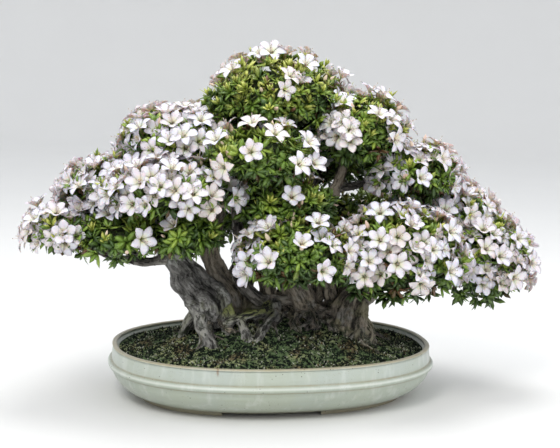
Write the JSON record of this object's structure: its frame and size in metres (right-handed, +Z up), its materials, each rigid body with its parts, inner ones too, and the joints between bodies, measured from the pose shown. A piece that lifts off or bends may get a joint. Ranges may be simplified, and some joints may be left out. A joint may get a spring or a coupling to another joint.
{
  "type": "satsuki azalea bonsai",
  "caption": "Old multi-trunk azalea bonsai in bloom: bare roots, low wide canopy of leafy pads under star-shaped flowers, in an oval glazed footed pot.",
  "frame": {"origin": "on the surface that the pot's feet stand on, under the middle of the bonsai's bounding box", "axes": "+Z up; +X along the pot's length, to the right in the picture; +Y along the pot's width, away from the viewer"},
  "size_m": [0.8978, 0.4582, 0.5969],
  "materials": {
    "glaze": "glossy pale celadon glaze with fine specks",
    "moss": "matt damp moss over soil",
    "bark": "matt weathered bark",
    "leaf": "satin leaf",
    "petal": "soft matt petal"
  },
  "bodies": {
    "root": {"blooms_back_left": "petal", "blooms_back_left_high": "petal", "blooms_back_low": "petal", "blooms_back_right": "petal", "blooms_back_right_high": "petal", "blooms_centre": "petal", "blooms_centre_leafy": "petal", "blooms_crown": "petal", "blooms_front_low": "petal", "blooms_left_inner": "petal", "blooms_left_low": "petal", "blooms_left_middle": "petal", "blooms_left_outer": "petal", "blooms_left_tip": "petal", "blooms_left_upper": "petal", "blooms_right_far": "petal", "blooms_right_low": "petal", "blooms_right_middle": "petal", "blooms_right_tip": "petal", "blooms_right_upper": "petal", "leaves_back_left": "leaf", "leaves_back_left_high": "leaf", "leaves_back_low": "leaf", "leaves_back_right": "leaf", "leaves_back_right_high": "leaf", "leaves_centre": "leaf", "leaves_centre_leafy": "leaf", "leaves_crown": "leaf", "leaves_front_low": "leaf", "leaves_left_inner": "leaf", "leaves_left_low": "leaf", "leaves_left_middle": "leaf", "leaves_left_outer": "leaf", "leaves_left_tip": "leaf", "leaves_left_upper": "leaf", "leaves_right_far": "leaf", "leaves_right_low": "leaf", "leaves_right_middle": "leaf", "leaves_right_tip": "leaf", "leaves_right_upper": "leaf", "pot": "glaze", "soil": "moss", "tree": "bark"}
  },
  "joints": []
}
